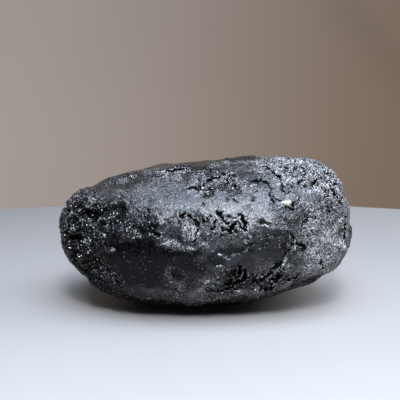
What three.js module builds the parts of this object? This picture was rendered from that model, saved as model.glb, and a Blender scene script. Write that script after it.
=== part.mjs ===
// Indochinite tektite: one lump of black natural glass, thrown out molten by a meteorite
// impact and etched since by soil acids. It is a long, bent egg with a narrow knobbly tip
// and a blunt end, satin smooth on its upper front and pitted and gouged elsewhere.
//
// Millimetres. +X runs from the narrow tip to the blunt end, -Y is the front and +Z is up.
// The origin is on the base, under the middle of the stone.

import * as THREE from "three";
import { ImprovedNoise } from "three/addons/math/ImprovedNoise.js";
import { mergeVertices } from "three/addons/utils/BufferGeometryUtils.js";

// ---- Driving dimensions -------------------------------------------------------------

const LENGTH = 70;
const DEPTH = 43;
const BASE_CUT = 0.5; // how much the flat spot that it rests on takes off the round belly

const SKIN_FINENESS = 21; // 20 * (21 + 1)^2 = 9,680 triangles

// The long axis is a shallow bow: its height above the base at the middle of the stone, its
// rise from tip to end, and its sag between them.
const AXIS = { height: 15.3, rise: 2.25, bow: 1.6 };

// How far the skin stands from the axis at the middle, and how blunt it is towards the tip
// and the end: a superellipse power, where 2 is an ellipse and more is squarer.
const CROWN = { reach: 18.8, tip: 2.65, end: 3.15 };
const BELLY = { reach: 15.3, tip: 2.15, end: 2.65 };
const SIDE = { reach: DEPTH / 2, tip: 2.2, end: 2.6 };
const GIRTH_SQUARENESS = 2.15;
const MEAN_BLUNTNESS = 2.5;

// Flattened faces: the way that each faces, and the millimetres it takes off.
const FACES = [
  { facing: [0.95, 0, 0.31], off: 1.5 }, // blunt end, upper
  { facing: [-0.72, 0, -0.69], off: 3.3 }, // narrow tip, below
  { facing: [0.34, 0, -0.94], off: 1.0 }, // belly, towards the end
  { facing: [-0.24, 0, 0.97], off: 1.7 }, // crown, towards the tip
  { facing: [0.05, 0, 1], off: 0.3 }, // crown, over the middle
  { facing: [0.55, 0.8, -0.2], off: 1.8 }, // back, towards the end
  { facing: [-0.35, 0.85, 0.4], off: 1.2 }, // back, towards the tip
];
const FACE_EDGE = 0.8; // how softly a face runs into the round skin

// ---- Marks in the skin --------------------------------------------------------------

// A place on the skin is [along, around]: millimetres along the stone from its middle, and
// degrees round its long axis, where 0 is the front, 90 the top and 180 the back. A mark
// follows a path of places, fades out at its reach, and goes its depth into the stone.

// Wide shallow bowls, left by bursting gas bubbles and by splashes of softer glass.
const BOWLS = [
  { path: [[-7.6, 18], [-4.5, 16]], reach: 4.6, depth: 1.7 },
  { path: [[3.4, 7], [6.9, 8]], reach: 3.7, depth: 1.2 },
  { path: [[-15, 30], [-12, 22]], reach: 4.0, depth: 0.6 },
  { path: [[6, 160], [13, 152]], reach: 7.0, depth: 1.8 },
  { path: [[-14, 205], [-8, 196]], reach: 6.0, depth: 1.7 },
  { path: [[20, 128], [24, 120]], reach: 4.5, depth: 1.2 },
  { path: [[-20, 135], [-16, 128]], reach: 4.5, depth: 1.1 },
  { path: [[4, 232], [10, 226]], reach: 5.0, depth: 1.2 },
];

// Deep ragged recesses between the knobs of the narrow tip.
const TIP_RECESSES = [
  { path: [[-20.7, 36], [-18.9, 39]], reach: 2.2, depth: 1.5 },
  { path: [[-27.1, 40], [-24.4, 35]], reach: 2.1, depth: 1.4 },
  { path: [[-23.6, 28], [-22.0, 28]], reach: 1.9, depth: 1.2 },
  { path: [[-30.2, 17], [-28.6, 19]], reach: 1.9, depth: 1.2 },
  { path: [[-26.4, 18], [-26.0, 15]], reach: 1.7, depth: 1.1 },
  { path: [[-21.5, 14], [-21.3, 9]], reach: 1.8, depth: 1.2 },
  { path: [[-32.9, 112], [-32.7, 72], [-32.9, 45]], reach: 2.0, depth: 1.3 },
  { path: [[-27.0, -16], [-28.4, -30]], reach: 2.0, depth: 1.1 },
  { path: [[-28.0, 100], [-26.5, 118]], reach: 2.2, depth: 1.2 },
  { path: [[-29.5, 165], [-26.8, 172]], reach: 2.4, depth: 1.4 },
  { path: [[-24.0, 222], [-26.5, 236]], reach: 2.2, depth: 1.2 },
];

// Knobs stand proud, so their depth is below 0.
const KNOBS = [
  { path: [[-30.9, 76], [-29.6, 78]], reach: 2.6, depth: -1.0 },
  { path: [[-27.0, 62], [-25.9, 55]], reach: 2.2, depth: -0.6 },
  { path: [[-28.8, 42], [-29.2, 30]], reach: 1.8, depth: -0.6 },
  { path: [[-22.9, 22], [-23.8, 18]], reach: 2.0, depth: -0.6 },
  { path: [[-17.1, 21], [-16.3, 27]], reach: 2.2, depth: -0.6 },
  { path: [[-20.1, 22], [-19.6, 28]], reach: 1.7, depth: -0.5 },
  { path: [[-30.5, 130], [-28.0, 140]], reach: 2.6, depth: -0.8 },
  { path: [[-27.5, 200], [-25.5, 206]], reach: 2.6, depth: -0.7 },
  { path: [[19.5, 23], [19.9, 22]], reach: 1.9, depth: -0.6 },
  { path: [[31.7, -9], [31.9, -13]], reach: 1.9, depth: -0.7 },
];

// Cracks and etched gouges of the front, from the crown down to the belly.
const GOUGES = [
  { path: [[-10.3, 76], [-8.4, 74], [-4.0, 74]], reach: 1.3, depth: 0.8 },
  { path: [[-2.9, 76], [-0.8, 67]], reach: 1.3, depth: 0.7 },
  { path: [[-1.0, 51], [1.7, 57], [3.3, 60]], reach: 1.3, depth: 0.8 },
  { path: [[3.9, 53], [5.9, 51], [7.4, 45]], reach: 1.4, depth: 0.8 },
  { path: [[9.3, 56], [11.1, 52], [12.4, 52]], reach: 1.4, depth: 0.9 },
  { path: [[13.6, 70], [14.5, 67], [15.5, 62]], reach: 1.5, depth: 1.0 },
  { path: [[12.5, 55], [13.7, 50]], reach: 1.3, depth: 0.7 },
  { path: [[13.3, 47], [14.6, 44], [14.7, 37], [15.1, 33]], reach: 1.3, depth: 0.8 },
  { path: [[17.1, 50], [17.9, 42]], reach: 1.3, depth: 0.7 },
  { path: [[11.0, 42], [10.3, 36]], reach: 1.3, depth: 0.6 },
  { path: [[-1.9, 27], [-1.9, 22]], reach: 1.8, depth: 1.3 },
  { path: [[-1.5, 21], [-1.4, 15], [-2.1, 10]], reach: 1.3, depth: 1.1 },
  { path: [[9.1, 8], [10.2, 9], [11.3, 10]], reach: 1.3, depth: 0.8 },
  { path: [[21.5, 17], [21.7, 22], [23.1, 23], [24.3, 24]], reach: 1.5, depth: 0.9 },
  { path: [[19.3, 12], [19.7, 8]], reach: 1.5, depth: 1.0 },
  { path: [[20.8, 7], [21.3, 4]], reach: 1.3, depth: 0.9 },
  { path: [[31.7, 8], [31.8, 0]], reach: 2.2, depth: 1.6 },
  { path: [[29.3, 45], [30.2, 42]], reach: 1.4, depth: 0.8 },
  { path: [[29.3, 58], [30.8, 60]], reach: 1.4, depth: 0.7 },
];

// The undercut hollows and ledges that run up the lower front towards the blunt end.
const LEDGES = [
  { path: [[5.9, -16], [7.4, -11], [9.1, -8]], reach: 2.6, depth: 1.9 },
  { path: [[0.6, -20], [2.3, -21], [5.2, -19], [6.3, -16]], reach: 1.5, depth: 1.0 },
  { path: [[17.3, -2], [15.6, -6], [14.1, -11], [13.2, -16]], reach: 1.7, depth: 1.4 },
  { path: [[16.1, -13], [15.7, -19], [14.7, -24]], reach: 1.5, depth: 1.0 },
  { path: [[18.6, -18], [20.7, -19]], reach: 1.6, depth: 1.0 },
  { path: [[22.8, -28], [25.1, -33]], reach: 1.6, depth: 1.0 },
  { path: [[-26.0, -15], [-21.6, -28], [-17, -36]], reach: 1.5, depth: 0.8 },
];
const LEDGE_LIPS = [
  { path: [[15.4, -1], [17.5, 1], [18.8, 3]], reach: 1.7, depth: -0.6 },
  { path: [[8.0, 3], [8.9, 4], [10.0, 6]], reach: 1.3, depth: -0.5 },
  { path: [[-1.0, -4], [3.4, 0.5], [7.0, 1]], reach: 1.8, depth: -0.5 },
  { path: [[-11.0, 9], [-5.8, 6.5], [-1.6, 8]], reach: 2.0, depth: -0.5 },
];

// Gouges of the top, the back and the belly.
const FAR_GOUGES = [
  { path: [[-6, 112], [0, 118], [5, 114]], reach: 1.7, depth: 1.1 },
  { path: [[12, 100], [18, 106], [21, 100]], reach: 1.6, depth: 1.0 },
  { path: [[-16, 160], [-9, 168], [-3, 164]], reach: 1.8, depth: 1.3 },
  { path: [[16, 178], [22, 186], [26, 182]], reach: 1.8, depth: 1.3 },
  { path: [[0, 186], [6, 196], [13, 193]], reach: 1.6, depth: 1.1 },
  { path: [[18, 210], [24, 222]], reach: 1.8, depth: 1.2 },
  { path: [[-20, 238], [-15, 246]], reach: 1.7, depth: 1.0 },
  { path: [[27, 150], [29, 165]], reach: 1.8, depth: 1.2 },
  { path: [[30.5, 205], [30.8, 230]], reach: 1.8, depth: 1.1 },
  { path: [[-2, 142], [4, 136]], reach: 1.5, depth: 0.9 },
];
const MARKS = [
  ...BOWLS,
  ...TIP_RECESSES,
  ...KNOBS,
  ...GOUGES,
  ...LEDGES,
  ...LEDGE_LIPS,
  ...FAR_GOUGES,
];

// Where the glass stayed satin smooth: the band along the upper front, the plain skin
// under it, and a patch of the crown.
const SATIN = [
  { path: [[-24, 54], [-12, 47], [1, 39], [14, 30]], reach: 6.5 },
  { path: [[-17, -8], [-8, -8], [-1, -6]], reach: 6.5 },
  { path: [[4, 68], [11, 67]], reach: 3.5 },
  { path: [[11, 0], [15, 0]], reach: 3.0 },
];

// Round pits that the soil acids etched, strewn all over but thinly on the satin skin.
const PITS = { count: 330, seed: 29, reach: [1.1, 2.4], steepness: [0.28, 0.5] };

// The uneven skin left by both: size and height of each set of lumps.
const LUMPS = [
  { size: 15, height: 0.45, onSatin: 0.8 },
  { size: 5.5, height: 0.55, onSatin: 0.2 },
  { size: 2.7, height: 0.45, onSatin: 0.05 },
];
const REST_BAND = 1.6; // marks fade out within this height of the flat spot

// ---- The smooth body ----------------------------------------------------------------

function girth(share, form) {
  const power = share < 0 ? form.tip : form.end;
  return Math.max(Math.pow(1 - Math.pow(Math.abs(share), power), 1 / power), 1e-6);
}

function axisHeight(share) {
  return AXIS.height + AXIS.rise * share + AXIS.bow * share * share;
}

function bodyPoint([along, around]) {
  const share = THREE.MathUtils.clamp((2 * along) / LENGTH, -1, 1);
  const angle = THREE.MathUtils.degToRad(around);
  const forward = Math.cos(angle);
  const upward = Math.sin(angle);
  const roof = upward > 0 ? CROWN : BELLY;
  const acrossShare = Math.abs(forward) / (SIDE.reach * girth(share, SIDE));
  const upShare = Math.abs(upward) / (roof.reach * girth(share, roof));
  const radius = Math.pow(
    Math.pow(acrossShare, GIRTH_SQUARENESS) + Math.pow(upShare, GIRTH_SQUARENESS),
    -1 / GIRTH_SQUARENESS,
  );
  return new THREE.Vector3(
    (LENGTH / 2) * share,
    -radius * forward,
    axisHeight(share) + radius * upward,
  );
}

// A unit ball's point moved out to the smooth body, keeping the triangles even in size.
function onBody(point) {
  const slim = Math.hypot(point.y, point.z);
  const squared = Math.pow(
    Math.pow(Math.abs(point.x), MEAN_BLUNTNESS) + Math.pow(slim, MEAN_BLUNTNESS),
    1 / MEAN_BLUNTNESS,
  );
  const around = THREE.MathUtils.radToDeg(Math.atan2(point.z, -point.y));
  return bodyPoint([((LENGTH / 2) * point.x) / squared, around]);
}

// Each flattened face as a plane: its direction, and its level along that direction.
function flatFaces(points) {
  return FACES.map(({ facing, off }) => {
    const direction = new THREE.Vector3(...facing).normalize();
    const reach = Math.max(...points.map((point) => point.dot(direction)));
    return { direction, level: reach - off };
  });
}

function pressFaces(point, faces) {
  for (const { direction, level } of faces) {
    const over = point.dot(direction) - level;
    point.addScaledVector(direction, -(over + Math.hypot(over, FACE_EDGE)) / 2);
  }
  return point;
}

// ---- Carving ------------------------------------------------------------------------

// Seeded random numbers from 0 to 1, the same on every run.
function dice(seed) {
  let state = seed;
  return () => {
    state = (Math.imul(state, 1664525) + 1013904223) >>> 0;
    return state / 4294967296;
  };
}

// A mark's path laid on the skin, as straight pieces between its places.
function layOnSkin(mark, faces) {
  const spots = mark.path.map((place) => pressFaces(bodyPoint(place), faces));
  const ends = spots.length > 1 ? spots.slice(1) : spots;
  return { ...mark, lines: ends.map((end, i) => new THREE.Line3(spots[i], end)) };
}

// 1 on a mark's path, falling smoothly to 0 at its reach.
function nearness(point, mark, nearest) {
  let distance = Infinity;
  for (const line of mark.lines) {
    line.closestPointToPoint(point, true, nearest);
    distance = Math.min(distance, nearest.distanceTo(point));
  }
  const share = Math.min(distance / mark.reach, 1);
  return (1 - share * share) ** 2;
}

function strewPits(points, satinAt) {
  const roll = dice(PITS.seed);
  const pits = [];
  while (pits.length < PITS.count) {
    const centre = points[Math.floor(roll() * points.length)];
    const reach = THREE.MathUtils.lerp(...PITS.reach, roll() ** 2);
    const depth = reach * THREE.MathUtils.lerp(...PITS.steepness, roll());
    if (roll() > satinAt(centre)) {
      pits.push({ centre: centre.clone(), reach, depth });
    }
  }
  return pits;
}

function deepestPit(point, pits) {
  let deepest = 0;
  for (const { centre, reach, depth } of pits) {
    const share = centre.distanceTo(point) / reach;
    if (share < 1) {
      deepest = Math.max(deepest, depth * (1 - share * share));
    }
  }
  return deepest;
}

function stoneGeometry() {
  const ball = new THREE.IcosahedronGeometry(1, SKIN_FINENESS);
  ball.deleteAttribute("normal");
  ball.deleteAttribute("uv");
  const skin = mergeVertices(ball);
  const places = skin.getAttribute("position");
  const points = [];
  for (let i = 0; i < places.count; i++) {
    points.push(onBody(new THREE.Vector3().fromBufferAttribute(places, i)));
  }
  const faces = flatFaces(points);
  points.forEach((point, i) => places.setXYZ(i, ...pressFaces(point, faces)));
  skin.computeVertexNormals();
  const outward = skin.getAttribute("normal");

  const noise = new ImprovedNoise();
  const nearest = new THREE.Vector3();
  const marks = MARKS.map((mark) => layOnSkin(mark, faces));
  const satin = SATIN.map((mark) => layOnSkin(mark, faces));
  const satinAt = (point) => Math.max(...satin.map((mark) => nearness(point, mark, nearest)));
  const pits = strewPits(points, satinAt);

  const carved = points.map((point, i) => {
    const smooth = satinAt(point);
    let depth = deepestPit(point, pits);
    for (const mark of marks) {
      depth += mark.depth * nearness(point, mark, nearest);
    }
    for (const { size, height, onSatin } of LUMPS) {
      const lump = noise.noise(point.x / size, point.y / size, point.z / size);
      depth += height * lump * THREE.MathUtils.lerp(1, onSatin, smooth);
    }
    depth *= THREE.MathUtils.smoothstep(point.z, BASE_CUT, BASE_CUT + REST_BAND);
    return point.clone().addScaledVector(new THREE.Vector3().fromBufferAttribute(outward, i), -depth);
  });
  carved.forEach(({ x, y, z }, i) => places.setXYZ(i, x, y, Math.max(z - BASE_CUT, 0)));

  skin.computeBoundingBox();
  const middle = skin.boundingBox.getCenter(new THREE.Vector3());
  skin.translate(-middle.x, -middle.y, 0);
  return skin;
}

const glass = new THREE.MeshStandardMaterial({
  name: "tektite_glass",
  color: 0x0c0c0e,
  roughness: 0.42,
  metalness: 0,
});

const tektite = new THREE.Mesh(stoneGeometry(), glass);
tektite.name = "tektite";

const stone = new THREE.Group();
stone.add(tektite);

export default stone;
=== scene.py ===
import math

import bmesh
import bpy
import numpy as np
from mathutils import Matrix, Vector
from mathutils.bvhtree import BVHTree


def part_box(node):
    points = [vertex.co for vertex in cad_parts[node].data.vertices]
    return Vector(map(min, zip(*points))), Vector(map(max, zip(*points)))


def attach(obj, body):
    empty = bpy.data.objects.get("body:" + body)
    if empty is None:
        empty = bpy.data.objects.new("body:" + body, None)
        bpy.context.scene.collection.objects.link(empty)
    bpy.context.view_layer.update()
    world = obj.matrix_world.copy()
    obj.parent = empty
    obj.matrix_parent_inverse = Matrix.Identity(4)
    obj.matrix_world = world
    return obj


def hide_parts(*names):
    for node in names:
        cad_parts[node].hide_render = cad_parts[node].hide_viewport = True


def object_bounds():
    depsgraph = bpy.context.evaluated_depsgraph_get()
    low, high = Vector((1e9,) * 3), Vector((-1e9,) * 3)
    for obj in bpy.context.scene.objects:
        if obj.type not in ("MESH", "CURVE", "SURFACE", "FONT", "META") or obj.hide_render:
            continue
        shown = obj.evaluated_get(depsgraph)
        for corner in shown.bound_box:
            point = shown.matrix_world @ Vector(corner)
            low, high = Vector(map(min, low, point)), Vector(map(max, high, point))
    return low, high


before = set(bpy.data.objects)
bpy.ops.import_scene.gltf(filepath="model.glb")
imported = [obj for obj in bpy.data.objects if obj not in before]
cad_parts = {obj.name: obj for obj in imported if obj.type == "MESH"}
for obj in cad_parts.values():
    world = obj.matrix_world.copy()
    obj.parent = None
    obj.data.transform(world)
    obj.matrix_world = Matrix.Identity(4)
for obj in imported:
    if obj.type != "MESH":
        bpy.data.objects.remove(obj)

cad_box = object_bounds()
MM = 0.001  # metres

# ---- The blank ----------------------------------------------------------------------
# The tektite is one lump of black natural glass that froze in flight after a meteorite
# impact. The blank is the frame's own solid, its facets smoothed away, in a fine even mesh.

MESH_SIZE = 0.25  # mm, side of the mesh's little squares
SOFTENING = 26  # rounds of smoothing, enough to lose the facets
JOINED_WITHIN = 0.001  # mm; corners nearer than this are one


def worked_in(piece, name):
    """The piece with its modifiers worked in, as a new plain mesh."""
    mesh = bpy.data.meshes.new_from_object(piece.evaluated_get(bpy.context.evaluated_depsgraph_get()))
    mesh.name = name
    return mesh


def smooth_blank(name):
    """A copy of the frame's solid with its facets smoothed away."""
    blank = bpy.data.objects.new(name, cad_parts["tektite"].data.copy())
    bpy.context.scene.collection.objects.link(blank)
    solid = bmesh.new()
    solid.from_mesh(blank.data)
    bmesh.ops.remove_doubles(solid, verts=solid.verts, dist=JOINED_WITHIN * MM)
    solid.to_mesh(blank.data)
    solid.free()
    fine = blank.modifiers.new("fine mesh", "REMESH")
    fine.mode = "VOXEL"
    fine.voxel_size = MESH_SIZE * MM
    soften = blank.modifiers.new("soften", "SMOOTH")
    soften.iterations = SOFTENING
    blank.data = worked_in(blank, name)
    blank.data.materials.clear()
    blank.modifiers.clear()
    return blank


stone = smooth_blank("tektite_glass")

# ---- Carving ------------------------------------------------------------------------
# Cracks, gouges, pits and ledges that soil acids etched in the skin, each cut along its own
# path. A place on the skin is (mm along the stone from its middle, degrees round its long
# axis), where 0 degrees is the front, 90 the top and 180 the back.

low, high = (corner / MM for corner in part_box("tektite"))
HALF_LENGTH = (high.x - low.x) / 2
AXIS_HEIGHT, AXIS_RISE, AXIS_BOW = 0.43, 0.065, 0.046  # shares of the stone's height
DEGREES_PER_MM = 3.5  # roughly, round the stone
BROAD_STEP = 2  # mm between the points of a broad form's path

skin = np.empty((len(stone.data.vertices), 3))
stone.data.vertices.foreach_get("co", skin.ravel())
skin /= MM
outward = np.empty_like(skin)
stone.data.vertices.foreach_get("normal", outward.ravel())
solid_skin = BVHTree.FromPolygons(
    [Vector(spot) for spot in skin], [face.vertices for face in stone.data.polygons]
)


def on_skin(along, around):
    """The point of the smooth blank at a place, in mm."""
    share = along / HALF_LENGTH
    axis = high.z * (AXIS_HEIGHT + AXIS_RISE * share + AXIS_BOW * share * share)
    angle = math.radians(around)
    way = Vector((0, -math.cos(angle), math.sin(angle)))
    hit = solid_skin.ray_cast(Vector((along, 0, axis)), way)[0]
    return np.array(hit)


def laid(path, step=0.6):
    """Points along a path of places, about step mm apart, so that they follow the skin."""
    spots = []
    for (along, around), (next_along, next_around) in zip(path, path[1:] or path):
        run = math.hypot(next_along - along, (next_around - around) / DEGREES_PER_MM)
        count = max(2, int(run / step) + 1)
        for share in np.linspace(0, 1, count):
            place = (along + share * (next_along - along), around + share * (next_around - around))
            spots.append(on_skin(*place))
    return np.array(spots)


def waves(wavelength, seed, count=28):
    """Smooth random swells of one wavelength over the whole stone, about -1 to 1."""
    dice = np.random.default_rng(seed)
    ways = dice.normal(size=(count, 3))
    ways *= 2 * math.pi / wavelength / np.linalg.norm(ways, axis=1)[:, None]
    ways *= dice.uniform(0.75, 1.3, size=(count, 1))
    starts = dice.uniform(0, 2 * math.pi, size=count)
    return np.cos(skin @ ways.T + starts).sum(axis=1) * math.sqrt(1 / count)


def ragged(size, seed):
    """How far each point is shoved along the skin, so that no mark is a neat tube."""
    shove = np.stack([waves(size, seed + side) for side in range(3)], axis=1)
    return shove - outward * (shove * outward).sum(axis=1)[:, None]


# Shoves in mm, each with the length of its waves in mm and its seed.
shoved = skin + 0.30 * ragged(2.2, 10) + 0.16 * ragged(0.9, 20)


def distance_to(spots, reach, points=shoved):
    """Each point's distance to a laid path, and the nearest place on it; far points get inf."""
    near = np.full(len(points), np.inf)
    within = np.all((points > spots.min(0) - reach) & (points < spots.max(0) + reach), axis=1)
    some = points[within]
    best = np.full(len(some), np.inf)
    for start, end in zip(spots, spots[1:] if len(spots) > 1 else spots):
        line = end - start
        share = np.clip((some - start) @ line / max(line @ line, 1e-9), 0, 1)
        best = np.minimum(best, np.linalg.norm(some - start - share[:, None] * line, axis=1))
    near[within] = best
    return near


def smoothed(points, rounds):
    """The points, each moved halfway to the middle of its neighbours, again and again."""
    ends = np.empty(2 * len(stone.data.edges), dtype=int)
    stone.data.edges.foreach_get("vertices", ends)
    ends = ends.reshape(-1, 2)
    near = np.concatenate([ends, ends[:, ::-1]])
    neighbours = np.bincount(near[:, 0])
    for _ in range(rounds):
        middles = [np.bincount(near[:, 0], points[near[:, 1], side]) / neighbours for side in range(3)]
        points = (points + np.stack(middles, axis=1)) / 2
    return points


# The sections of a mark: 1 on its path, and nothing from a share of 1 of its half width on.
def rounded(share):
    return np.clip(1 - np.minimum(abs(share), 2) ** 2, 0, 1) ** 2


def steep(share):
    return np.sqrt(np.clip(1 - np.minimum(share, 2) ** 2, 0, 1))


def wedge(share):
    return np.clip(1 - share, 0, 1) ** 0.7


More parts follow.
